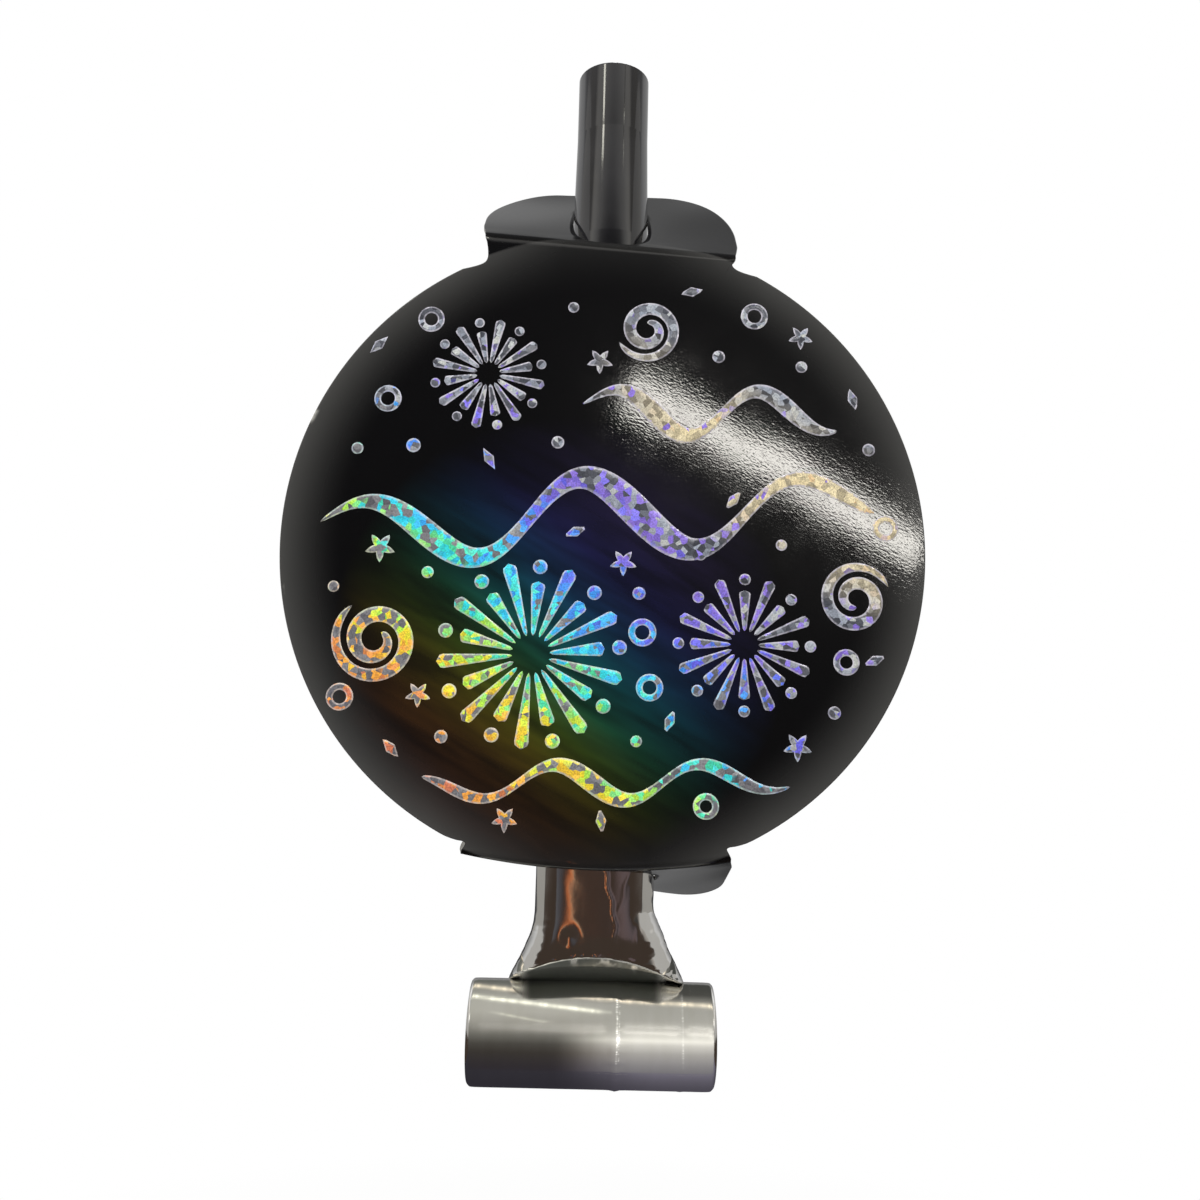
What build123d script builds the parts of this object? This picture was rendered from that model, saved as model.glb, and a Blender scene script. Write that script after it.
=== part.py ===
"""Party horn blower: a mouthpiece with a squeaker reed, a folded card medallion and a rolled foil tube.

Millimetres. The origin is the centre of the blow end, +Z runs up the mouthpiece out of the blow end,
-Y is the side the medallion faces and +X is to the right of someone looking at that face.
"""
import os
from math import cos, degrees, hypot, radians, sin

from build123d import *

# Mouthpiece
blow_diameter = 9.6
blow_straight = 9.0
body_diameter = 10.2
body_start = 24.0
bore_diameter = 8.2
bore_step = 34.0
seat_diameter = 7.8
lip_round = 0.25
mouth_reach = 6.5

# Reed unit inside the mouthpiece
reed_seat = 56.0
collar_length = 6.0
collar_clearance = 0.04
shallot_length = 15.0
shallot_diameter = 6.0
shallot_face = 1.0
shallot_slot_width = 2.2
shallot_slot_floor = 1.2
shallot_cap = 1.5
outlet_diameter = 3.2
clip_width = 2.6
clip_wall = 0.6
clip_clearance = 0.03
tongue_width = 4.0
tongue_thickness = 0.15
tongue_lean = 4.0
tongue_root_radius = 0.18
tongue_gap = 0.08

# Card medallion
disc_radius = 40.0
disc_drop = 66.9
card_thickness = 0.4
card_offset = 8.2
crease_radius = 0.25
fold_height = 38.9
tab_root_half_width = 15.4
tab_half_width = 16.6
tab_length = 21.5
tab_corner = 7.5
waist_round = 1.6
top_tab_angle = 45.0
bottom_tab_angles = (97.0, 91.0, 80.0, 75.0)
top_hole_clearance = 0.25
bottom_hole_clearance = 0.3

# Foil neck on the lower end of the mouthpiece
neck_wall = 0.35
neck_lap = 4.1
neck_width = 14.8
neck_depth = 11.8
neck_corner = 5.5
neck_crown_gap = 0.4
neck_crown_width = 14.9
neck_waist_gap = 3.4
neck_waist_width = 16.5
neck_waist_depth = 10.6
neck_slot_width = 20.4
neck_slot_depth = 1.3
neck_slot_gap = 0.22

# Rolled foil tube, a chain of short curved lengths
link_count = 22
link_angle = 80.0
roll_radius = 6.21
roll_pitch = 0.95
roll_width = 29.7
foil_thickness = 0.46
foil_cavity = 0.22
foil_edge = 0.25
link_gap = 0.06
roll_start_y = -0.3
roll_reach = 8.14
tip_closure = 0.5

# Curl spring inside the foil
spring_thickness = 0.14
spring_width = 1.2
spring_offset = 2.6

bore_radius = bore_diameter / 2
seat_radius = seat_diameter / 2
disc_z = -disc_drop
top_fold_z = disc_z + fold_height
bottom_fold_z = disc_z - fold_height
mouth_length = mouth_reach - bottom_fold_z
neck_top = -bottom_fold_z - neck_lap
roll_start_drop = mouth_length + roll_reach
os.makedirs("parts", exist_ok=True)


def save(piece, name):
    """Label one finished piece and write it to its own file."""
    piece.part.label = name
    export_step(piece.part, f"parts/{name}.step")


# Mouthpiece: a straight lip for the mouth, a short taper and a plain tube, bored narrower where the reed sits
with BuildPart() as mouthpiece:
    with BuildSketch(Plane.XZ):
        with BuildLine():
            Polyline(
                (bore_radius, 0),
                (blow_diameter / 2, 0),
                (blow_diameter / 2, -blow_straight),
                (body_diameter / 2, -body_start),
                (body_diameter / 2, -mouth_length),
                (seat_radius, -mouth_length),
                (seat_radius, -bore_step),
                (bore_radius, -bore_step),
                close=True,
            )
        make_face()
    revolve(axis=Axis.Z)
    fillet(mouthpiece.edges().group_by(Axis.Z)[-1], lip_round)
save(mouthpiece, "mouthpiece")

# Reed holder: a collar that plugs the bore, with a slotted half-round stem standing on it
collar_top = -reed_seat + collar_length
shallot_top = collar_top + shallot_length
shallot_radius = shallot_diameter / 2
with BuildPart() as reed_holder:
    with BuildSketch(Plane.XY.offset(-reed_seat)):
        Circle(seat_radius - collar_clearance)
    extrude(amount=collar_length)
    with BuildSketch(Plane.XY.offset(collar_top)):
        Circle(shallot_radius)
        with Locations((0, -shallot_face - shallot_radius)):
            Rectangle(shallot_diameter, shallot_diameter, mode=Mode.SUBTRACT)
    extrude(amount=shallot_length)
    slot_depth = shallot_slot_floor + shallot_face
    with BuildSketch(Plane.XY.offset(collar_top)):
        with Locations((0, shallot_slot_floor - slot_depth)):
            Rectangle(shallot_slot_width, 2 * slot_depth)
    extrude(amount=shallot_length - shallot_cap, mode=Mode.SUBTRACT)
    with BuildSketch(Plane.XY.offset(-reed_seat)):
        Circle(outlet_diameter / 2)
    extrude(amount=collar_length, mode=Mode.SUBTRACT)
save(reed_holder, "reed_holder")

# Reed clip: the band that clamps the root of the tongue against the flat of the stem
clip_inner = shallot_radius + clip_clearance
clip_flat = shallot_face + clip_clearance
with BuildPart() as reed_clip:
    with BuildSketch(Plane.XY.offset(collar_top + clip_clearance)):
        Circle(clip_inner + clip_wall)
        with Locations((0, -clip_flat - clip_wall - clip_inner)):
            Rectangle(3 * clip_inner, 2 * clip_inner, mode=Mode.SUBTRACT)
    extrude(amount=clip_width)
    with BuildSketch(Plane.XY.offset(collar_top)):
        Circle(clip_inner)
        with Locations((0, -clip_flat - clip_inner)):
            Rectangle(3 * clip_inner, 2 * clip_inner, mode=Mode.SUBTRACT)
    extrude(amount=2 * clip_width, mode=Mode.SUBTRACT)
save(reed_clip, "reed_clip")

# Reed tongue: a thin blade that stands a little open and beats against the flat of the stem
tongue_y = -shallot_face - tongue_gap - tongue_root_radius
tongue_z = collar_top + clip_clearance + clip_width + tongue_gap + tongue_root_radius
tongue_length = shallot_top - tongue_z - 0.3
blade_plane = Plane(
    origin=(0, tongue_y, tongue_z),
    x_dir=(1, 0, 0),
    z_dir=(0, -cos(radians(tongue_lean)), -sin(radians(tongue_lean))),
)
with BuildPart() as reed_tongue:
    with BuildSketch(blade_plane):
        with Locations((0, tongue_length / 2)):
            Rectangle(tongue_width, tongue_length)
    extrude(amount=tongue_thickness / 2, both=True)
    with BuildSketch(Plane.YZ):
        with Locations((tongue_y, tongue_z)):
            Circle(tongue_root_radius)
    extrude(amount=tongue_width / 2, both=True)
save(reed_tongue, "reed_tongue")


def tab_outline(plane):
    """The flat shape of a tab, standing on its fold at the plane's origin and wider away from it."""
    with BuildSketch(plane) as outline:
        with BuildLine():
            Polyline(
                (-tab_root_half_width, 0),
                (-tab_half_width, tab_length / 4),
                (-tab_half_width, tab_length),
                (tab_half_width, tab_length),
                (tab_half_width, tab_length / 4),
                (tab_root_half_width, 0),
                close=True,
            )
        tab_face = make_face()
        fillet(tab_face.vertices().group_by(Axis.Y)[-1], tab_corner)
    return outline.sketch


# Lower tab of the card: one wing hangs and the other lifts, so its side profile turns along the fold
bottom_tab_places = (-tab_half_width, -tab_half_width / 3, tab_half_width / 3, tab_half_width)
with BuildPart() as bottom_tab:
    for place, angle in zip(bottom_tab_places, bottom_tab_angles):
        tab_plane = Plane(
            origin=(place, -card_offset, bottom_fold_z),
            x_dir=(0, sin(radians(angle)), -cos(radians(angle))),
            z_dir=(1, 0, 0),
        )
        with BuildSketch(tab_plane):
            with Locations((tab_length / 2, 0)):
                Rectangle(tab_length, card_thickness)
    loft()
    tab_trim = tab_outline(Plane((0, -card_offset, bottom_fold_z - tab_length)))
    extrude(tab_trim, amount=2 * tab_length, mode=Mode.INTERSECT)

# Card medallion: the disc, its two folded tabs and the holes that take the mouthpiece and the neck
card_plane = Plane(origin=(0, -card_offset, disc_z), x_dir=(1, 0, 0), z_dir=(0, -1, 0))
top_tab_plane = Plane(
    origin=(0, -card_offset, top_fold_z),
    x_dir=(1, 0, 0),
    z_dir=(0, -cos(radians(top_tab_angle)), sin(radians(top_tab_angle))),
)
with BuildPart() as medallion_card:
    with BuildSketch(card_plane) as medallion_outline:
        Circle(disc_radius)
        Rectangle(2 * tab_root_half_width, 2 * fold_height)
        Rectangle(3 * disc_radius, 2 * fold_height, mode=Mode.INTERSECT)
        waists = [v for v in medallion_outline.vertices() if 0 < abs(v.Y) < fold_height - waist_round]
        fillet(waists, waist_round)
    extrude(amount=card_thickness / 2, both=True)
    extrude(tab_outline(top_tab_plane), amount=card_thickness / 2, both=True)
    with BuildSketch(Plane.YZ):
        with Locations((-card_offset, top_fold_z), (-card_offset, bottom_fold_z)):
            Circle(crease_radius)
    extrude(amount=tab_root_half_width, both=True)
    add(bottom_tab.part)
    with BuildSketch(Plane.XY.offset(disc_z)):
        Circle(body_diameter / 2 + top_hole_clearance)
    extrude(amount=disc_drop, mode=Mode.SUBTRACT)
    with BuildSketch(Plane.XY.offset(disc_z)):
        Circle(neck_width / 2 + bottom_hole_clearance)
    extrude(amount=-disc_drop, mode=Mode.SUBTRACT)
save(medallion_card, "medallion_card")


def neck_outline(width, depth, corner):
    """Corner points of an oval with flat sides and two facets round each quarter."""
    outline = []
    for quarter, (side, face) in enumerate(((1, 1), (-1, 1), (-1, -1), (1, -1))):
        for step in range(3):
            turn = radians(90 * quarter + 45 * step)
            across = side * (width / 2 - corner) + corner * cos(turn)
            outline.append((across, face * (depth / 2 - corner) + corner * sin(turn)))
    return outline


# Foil neck: a faceted oval sleeve that closes to a flat slot just above the roll
neck_slot_drop = roll_start_drop - foil_thickness / 2 - neck_slot_gap
neck_waist_corner = neck_corner * neck_waist_depth / neck_depth
neck_sections = (
    (neck_top, neck_width, neck_depth, neck_corner),
    (mouth_length + neck_crown_gap, neck_crown_width, neck_depth, neck_corner),
    (mouth_length + neck_waist_gap, neck_waist_width, neck_waist_depth, neck_waist_corner),
    (neck_slot_drop, neck_slot_width, neck_slot_depth, 0.45 * neck_slot_depth),
)
with BuildPart() as foil_neck:
    for drop, width, depth, corner in neck_sections:
        with BuildSketch(Plane.XY.offset(-drop)):
            Polygon(*neck_outline(width, depth, corner), align=None)
    loft(ruled=True)
    for drop, width, depth, corner in neck_sections:
        inner_width = width - 2 * neck_wall
        inner_depth = depth - 2 * neck_wall
        with BuildSketch(Plane.XY.offset(-drop)):
            Polygon(*neck_outline(inner_width, inner_depth, min(corner, 0.45 * inner_depth)), align=None)
    loft(ruled=True, mode=Mode.SUBTRACT)
save(foil_neck, "foil_neck")


def roll_length(centre, radius, thickness, first_angle, sweep, width, shift=0.0):
    """A curved strip about the X direction, given by its mid radius and its first polar angle."""
    outer = radius + thickness / 2
    inner = radius - thickness / 2
    corners = [
        (centre[0] + reach * cos(radians(angle)), centre[1] + reach * sin(radians(angle)))
        for reach, angle in (
            (outer, first_angle),
            (inner, first_angle),
            (outer, first_angle + sweep),
            (inner, first_angle + sweep),
        )
    ]
    with BuildPart() as strip:
        with BuildSketch(Plane.YZ.offset(shift)):
            with BuildLine():
                CenterArc(centre, outer, first_angle, sweep)
                CenterArc(centre, inner, first_angle, sweep)
                Line(corners[0], corners[1])
                Line(corners[2], corners[3])
            make_face()
        extrude(amount=width / 2, both=True)
    return strip.part


# Roll: each length continues the one before it about a new centre, so the strip winds inwards
radius_step = roll_pitch * link_angle / 360
centre = (roll_start_y, -roll_start_drop - roll_radius)
layer_points = []
pivots = [(0.0, -roll_start_drop)]
for index in range(link_count):
    radius = roll_radius - index * radius_step
    first_angle = 90 + index * link_angle
    trim = degrees(link_gap / 2 / radius)
    closed = tip_closure if index == link_count - 1 else -1.0
    with BuildPart() as roll_foil:
        foil_sweep = link_angle - 2 * trim
        add(roll_length(centre, radius, foil_thickness, first_angle + trim, foil_sweep, roll_width))
        cavity_end = link_angle - trim - degrees(closed / radius)
        cavity = roll_length(
            centre, radius, foil_cavity, first_angle - 1, cavity_end + 1, roll_width - 2 * foil_edge
        )
        add(cavity, mode=Mode.SUBTRACT)
    save(roll_foil, f"roll_foil_{index + 1:02d}")
    spring_trim = 2 * trim
    spring_end = link_angle - spring_trim - degrees(2 * max(closed, 0) / radius)
    with BuildPart() as curl_spring:
        add(
            roll_length(
                centre,
                radius,
                spring_thickness,
                first_angle + spring_trim,
                spring_end - spring_trim,
                spring_width,
                spring_offset,
            )
        )
    save(curl_spring, f"curl_spring_{index + 1:02d}")
    for step in range(40):
        turn = radians(first_angle + link_angle * step / 40)
        mid = (centre[0] + radius * cos(turn), centre[1] + radius * sin(turn))
        layer_points.append((link_angle * (index + step / 40), mid))
    if index:
        joint_turn = radians(first_angle)
        reach = radius + foil_thickness / 2
        pivots.append((centre[0] + reach * cos(joint_turn), centre[1] + reach * sin(joint_turn)))
    end_turn = radians(first_angle + link_angle)
    centre = (centre[0] + radius_step * cos(end_turn), centre[1] + radius_step * sin(end_turn))

least = min(
    hypot(one[0] - other[0], one[1] - other[1])
    for turned, one in layer_points
    for later, other in layer_points
    if later - turned > 180
)
strip_length = sum(radians(link_angle) * (roll_radius - i * radius_step) for i in range(link_count))
print(f"least gap between turns of the roll: {least - foil_thickness:.3f} mm")
print(f"turns in the roll: {link_count * link_angle / 360:.2f}, strip length {strip_length:.1f} mm")
print(f"tongue pivot y, z: {tongue_y:.3f}, {tongue_z:.3f}; blade {tongue_length:.2f} mm")
for number, pivot in enumerate(pivots, 1):
    print(f"pivot {number:02d} y, z: {pivot[0]:.4f}, {pivot[1]:.4f}")
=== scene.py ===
import math

import bpy
import numpy as np
from mathutils import Matrix


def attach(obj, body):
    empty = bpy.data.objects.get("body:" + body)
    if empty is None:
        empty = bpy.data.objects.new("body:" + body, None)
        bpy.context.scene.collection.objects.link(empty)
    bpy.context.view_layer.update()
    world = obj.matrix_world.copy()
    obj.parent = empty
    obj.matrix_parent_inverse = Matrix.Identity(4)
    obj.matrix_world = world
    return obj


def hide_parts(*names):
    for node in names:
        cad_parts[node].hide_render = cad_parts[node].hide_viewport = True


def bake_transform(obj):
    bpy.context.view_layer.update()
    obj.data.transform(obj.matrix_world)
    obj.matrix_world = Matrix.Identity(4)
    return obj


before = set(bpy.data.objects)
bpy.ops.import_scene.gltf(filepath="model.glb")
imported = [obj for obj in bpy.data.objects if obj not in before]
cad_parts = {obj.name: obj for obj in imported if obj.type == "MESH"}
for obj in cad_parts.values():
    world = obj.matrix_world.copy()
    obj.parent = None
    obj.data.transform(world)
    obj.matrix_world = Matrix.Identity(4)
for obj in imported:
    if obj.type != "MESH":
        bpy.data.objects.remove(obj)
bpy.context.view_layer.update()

# Party horn blower: a black tube with a folded, foil printed card on it and a wound silver foil strip below.
# The frame is that of the solids: the origin is the middle of the blow end, +Z runs up out of it, -Y is the
# way the printed card faces and +X is to that viewer's right. Lengths are in millimetres until a mesh is
# made.
MM = 0.001

# Card
DISC_RADIUS = 40.0
DISC_MIDDLE = -66.9
CARD_FRONT = -8.4
CARD_THICKNESS = 0.4
FOLD_HEIGHT = 38.9
FOLD_LENGTH = 1.5
TAB_ROOT = 16.1
TAB_HALF_WIDTH = 16.6
TAB_LENGTH = 21.5
TOP_TAB_ANGLE = 45.0
BOTTOM_TAB_X = (-16.6, -5.5, 5.5, 16.6)
BOTTOM_TAB_ANGLES = (97.0, 91.0, 78.5, 71.5)
# For the upper tab (1) and the lower one (-1): how far a corner's round reaches across and along
TAB_CORNERS = {1: (9.5, 15.0), -1: (5.5, 9.0)}
# Likewise: a hole's middle past the crease, its half width, and its reach towards the crease and away from it
TAB_HOLES = {1: (11.0, 4.99, 10.2, 7.5), -1: (8.25, 7.7, 7.7, 7.7)}
# Lower and upper waist: degrees from +X at which the round rim ends, and the point that pulls the waist in
WAISTS = ((65.5, (15.25, 36.6)), (62.0, (15.1, 36.2)))
CREASE_POINTS = 73

# Foil neck and roll
NECK_FACING = (-90.0, -151.0, 180.0, 125.0, 90.0, 55.0, 0.0, -33.2)
NECK_REACH = (5.9, 8.02, 7.4, 7.7, 5.9, 7.7, 7.4, 7.83)
NECK_WIDE = 7.4
NECK_DEEP = 5.9
NECK_TOP = -101.7
NECK_END = -120.36
NECK_WALL = 0.12
LINKS = 22
LINK_ANGLE = 80.0
ROLL_RADIUS = 6.21
ROLL_PITCH = 0.95
ROLL_WIDTH = 29.7
FOIL_THICKNESS = 0.46
ROLL_START = (-0.3, -120.44)
SPRING_X = 2.6
SPRING_WIDTH = 1.2
SPRING_THICKNESS = 0.14
CREASE_X = 11.0

# Stage: the floor lies below the strip when it is blown out straight, and the mats that only reflections show
# stay close under the roll
FLOOR_Z = -262.0
FLOOR_HALF = 3000.0
MAT_Z = -133.4


# Meshes from arrays

def grid_faces(rows, columns, first=0, around=False, flip=False):
    """Quads between neighbours of a grid of points numbered row by row; around joins the last column to the
    first."""
    number = first + np.arange(rows * columns).reshape(rows, columns)
    if around:
        number = np.concatenate([number, number[:, :1]], axis=1)
    corners = number[:-1, :-1], number[:-1, 1:], number[1:, 1:], number[1:, :-1]
    quads = np.stack(corners, axis=-1).reshape(-1, 4)
    return quads[:, ::-1] if flip else quads


def make_piece(name, points, faces, materials, flat_faces=0, edge=None):
    """An object at the origin from points in millimetres and faces. The last flat_faces faces are shaded
    flat, and edge is a mark at each point that the materials read."""
    mesh = bpy.data.meshes.new(name)
    mesh.from_pydata((np.asarray(points, float) * MM).tolist(), [], [list(map(int, face)) for face in faces])
    smooth = np.ones(len(mesh.polygons), bool)
    if flat_faces:
        smooth[-flat_faces:] = False
    mesh.polygons.foreach_set("use_smooth", smooth)
    if edge is not None:
        marks = mesh.attributes.new("edge", "FLOAT", "POINT")
        marks.data.foreach_set("value", np.asarray(edge, np.float32))
    for material in materials:
        mesh.materials.append(material)
    mesh.update()
    piece = bpy.data.objects.new(name, mesh)
    bpy.context.scene.collection.objects.link(piece)
    return piece


def xyz(x, y, z):
    """Points from arrays of coordinates, stretched to one shape."""
    return np.stack(np.broadcast_arrays(x, y, z), axis=-1)


def ease(t):
    """Smooth step: 3 t squared less 2 t cubed, held at 0 and 1 outside."""
    t = np.clip(t, 0.0, 1.0)
    return t * t * (3 - 2 * t)


def bump(gap, half):
    """A bell: e to the power of minus the square of gap over half."""
    return np.exp(-(gap / half) ** 2)


def ripple(u, v, seed, low, high):
    """Sum of plane waves over (u, v) with seeded directions, phases and wavelengths from low to high, about
    -1 to 1."""
    waves = 14
    chance = np.random.default_rng(seed)
    turn = chance.uniform(0, 2 * np.pi, waves)
    number = 2 * np.pi / chance.uniform(low, high, waves)
    phase = chance.uniform(0, 2 * np.pi, waves)
    u, v = np.broadcast_arrays(u, v)
    run = u[..., None] * np.cos(turn) + v[..., None] * np.sin(turn)
    return np.sin(run * number + phase).sum(axis=-1) / math.sqrt(waves)


def crinkle(u, v, seed, size, reach):
    """Facets of crumpled foil: the distance from (u, v) to the nearest seeded point, so ridges run between
    the points."""
    chance = np.random.default_rng(seed)
    (u_low, u_high), (v_low, v_high) = reach
    count = int((u_high - u_low) * (v_high - v_low) / size ** 2) + 1
    dots_u = chance.uniform(u_low, u_high, count)
    dots_v = chance.uniform(v_low, v_high, count)
    u, v = np.broadcast_arrays(u, v)
    gap = np.hypot(u[..., None] - dots_u, v[..., None] - dots_v)
    return np.clip(gap.min(axis=-1) / size, 0, 1.2)


# Materials

def put(tree, socket, value):
    """A value or another node's output into a socket; a colour given as three shares is opaque."""
    if isinstance(value, bpy.types.NodeSocket):
        tree.links.new(value, socket)
    elif socket.type == "RGBA" and len(value) == 3:
        socket.default_value = (*value, 1.0)
    else:
        socket.default_value = value


def add(tree, kind, inputs=None, **settings):
    """A node: settings are its properties, and inputs its sockets, each a value or another node's output."""
    made = tree.nodes.new("ShaderNode" + kind)
    for key, value in settings.items():
        setattr(made, key, value)
    for key, value in (inputs or {}).items():
        put(tree, made.inputs[key], value)
    return made


def ramp(tree, factor, stops):
    """A colour ramp through (place, colour) stops."""
    made = add(tree, "ValToRGB", {"Fac": factor})
    bar = made.color_ramp
    while len(bar.elements) < len(stops):
        bar.elements.new(0.5)
    for element, (place, colour) in zip(bar.elements, stops):
        element.position = place
        element.color = (*colour, 1.0)
    return made.outputs["Color"]


def math_node(tree, kind, *values):
    """A math node's result."""
    return add(tree, "Math", dict(enumerate(values)), operation=kind).outputs[0]


def times(tree, *values):
    """A product of two."""
    return math_node(tree, "MULTIPLY", *values)


def vector_node(tree, kind, *values, result=0):
    """A vector math node's result."""
    return add(tree, "VectorMath", dict(enumerate(values)), operation=kind).outputs[result]


def spread(tree, value, low, high, out_low=0.0, out_high=1.0):
    """A value carried from one range to another and held at its ends."""
    limits = {"From Min": low, "From Max": high, "To Min": out_low, "To Max": out_high}
    return add(tree, "MapRange", {"Value": value, **limits}).outputs["Result"]


def mix(tree, factor, first, second):
    """A mix of two colours."""
    return add(tree, "Mix", {"Factor": factor, 6: first, 7: second}, data_type="RGBA").outputs[2]


def noise(tree, place, scale, detail=2.0, stretch=None):
    """Noise at a scale per metre, stretched along axes where asked."""
    if stretch:
        place = add(tree, "Mapping", {"Vector": place, "Scale": stretch}).outputs[0]
    return add(tree, "TexNoise", {"Vector": place, "Scale": scale, "Detail": detail}).outputs["Fac"]


def relief(tree, shader, *layers):
    """Bumps in turn, each a height and its depth in metres, into the shader's normal."""
    last = {}
    for height, depth in layers:
        made = add(tree, "Bump", {"Height": height, "Distance": depth, "Strength": 1.0, **last})
        last = {"Normal": made.outputs["Normal"]}
    feed(tree, shader, normal=last["Normal"])


def feed(tree, shader, **sockets):
    """Values or outputs into the shader's sockets, each named in small letters."""
    for key, value in sockets.items():
        put(tree, shader.inputs[key.replace("_", " ").title().replace("Ior", "IOR")], value)


def start_material(name, **sockets):
    """A material with a principled shader, its even values on the shader's own sockets, and Object
    coordinates."""
    material = bpy.data.materials.new(name)
    material.use_nodes = True
    tree = material.node_tree
    shader = tree.nodes["Principled BSDF"]
    feed(tree, shader, **sockets)
    return material, tree, shader, add(tree, "TexCoord").outputs["Object"]


def black_plastic():
    """Satin black tube: drawn lines along its length, a fine grain and uneven gloss from handling."""
    material, tree, shader, place = start_material("black_plastic_tube", ior=1.5)
    drawn = noise(tree, place, 1.0, 3.0, (1500, 1500, 18))
    smear = noise(tree, place, 130.0, 3.0)
    grain = noise(tree, place, 5200.0)
    black = ramp(tree, smear, [(0.3, (0.006, 0.006, 0.007)), (0.75, (0.013, 0.013, 0.015))])
    feed(tree, shader, base_color=black, roughness=spread(tree, smear, 0.3, 0.7, 0.045, 0.08))
    relief(tree, shader, (drawn, 0.000004), (grain, 0.0000008))
    return material


# Colours of the painted rainbow light, diffracted by the foil print and hazed round it on the card
RAINBOW = [(0.0, (0.24, 0.16, 0.66)), (0.17, (0.14, 0.15, 0.92)), (0.30, (0.05, 0.36, 0.98)),
           (0.42, (0.03, 0.72, 0.86)), (0.53, (0.10, 0.82, 0.38)), (0.63, (0.50, 0.90, 0.08)),
           (0.73, (0.98, 0.80, 0.04)), (0.85, (0.98, 0.42, 0.06)), (1.0, (0.66, 0.20, 0.10))]


def rainbow_place(tree, place):
    """How far along the rainbow a point of the card's face lies: it runs down and to the left across the
    disc. This run of colours is painted light."""
    apart = add(tree, "SeparateXYZ", {"Vector": place}).outputs
    down = math_node(tree, "MULTIPLY_ADD", apart["Z"], -0.9, 0.9 * DISC_MIDDLE * MM)
    return math_node(tree, "MULTIPLY_ADD", apart["X"], -0.75, down), apart


def rainbow(tree, along):
    """The rainbow's colour at a place along it."""
    return ramp(tree, spread(tree, along, -0.006, 0.042), RAINBOW)


def painted_rainbow_share(tree, apart, near, far, most):
    """How strongly the painted rainbow light shows: most near its middle, low on the left of the disc, and
    none far from it."""
    left = math_node(tree, "ADD", apart["X"], 0.005)
    low = math_node(tree, "ADD", apart["Z"], (12.0 - DISC_MIDDLE) * MM)
    square = math_node(tree, "ADD", times(tree, left, left), times(tree, low, low))
    return spread(tree, math_node(tree, "SQRT", square), near, far, most, 0.0)


def slanted_noise(tree, place, along, across, detail):
    """Noise drawn out along the slant of the glare, with so many waves per metre along it and across it."""
    turned = add(tree, "Mapping", {"Vector": place, "Rotation": (0, math.radians(29), 0),
                                   "Scale": (1 / along, 1 / across, 1 / across)}, vector_type="TEXTURE")
    return noise(tree, turned.outputs[0], 1.0, detail)


def gloss_card():
    """Black laminated card: orange peel film, scuffs and a few pale nicks on the rim. A soft coloured haze
    round the bright print and a grey bloom along the rim stand in for hazes of light, as colour."""
    material, tree, shader, place = start_material(
        "black_gloss_card", ior=1.45, coat_weight=0.06, coat_roughness=0.3)
    along, apart = rainbow_place(tree, place)
    streaks = spread(tree, slanted_noise(tree, place, 60, 420, 2.0), 0.3, 0.7, 0.25, 1.0)
    haze = times(tree, painted_rainbow_share(tree, apart, 0.003, 0.028, 0.065), streaks)
    face = mix(tree, haze, (0.0016, 0.0016, 0.002), rainbow(tree, along))
    middle = (0, CARD_FRONT * MM, DISC_MIDDLE * MM)
    from_middle = vector_node(tree, "DISTANCE", place, middle, result="Value")
    on_disc = spread(tree, from_middle, 0.0402, 0.0405, 1.0, 0.0)
    bloom = math_node(tree, "POWER", spread(tree, from_middle, 0.032, 0.0402, 0.0, 0.2), 2.0)
    sideways = spread(tree, math_node(tree, "ABSOLUTE", apart["X"]), 0.006, 0.02, 0.25, 1.0)
    face = mix(tree, times(tree, times(tree, bloom, sideways), on_disc), face, (1.0, 1.0, 0.97))
    rim = times(tree, spread(tree, from_middle, 0.0395, 0.0399), on_disc)
    nicks = times(tree, rim, spread(tree, noise(tree, place, 150.0, 4.0), 0.65, 0.71))
    scuff = noise(tree, place, 240.0, 5.0)
    feed(tree, shader, base_color=mix(tree, nicks, face, (0.3, 0.3, 0.28)),
         roughness=spread(tree, scuff, 0.35, 0.75, 0.05, 0.08))
    wave = noise(tree, place, 60.0, 1.0)
    peel = slanted_noise(tree, place, 2000, 4200, 1.0)
    fine = noise(tree, place, 6000.0)
    relief(tree, shader, (wave, 0.00002), (peel, 0.000004), (fine, 0.0000006))
    return material


def plain_card(name, colour, stain):
    """Uncoated board: pale fibres and flecks, matt."""
    material, tree, shader, place = start_material(name, roughness=0.85)
    fibre = noise(tree, place, 1.0, 4.0, (1900, 1900, 1500))
    fleck = noise(tree, place, 900.0, 3.0)
    tone = mix(tree, spread(tree, fibre, 0.35, 0.7), colour, stain)
    feed(tree, shader, base_color=mix(tree, spread(tree, fleck, 0.62, 0.72, 0.0, 0.5), tone, stain))
    relief(tree, shader, (fibre, 0.00002), (fleck, 0.00001))
    return material


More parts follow.
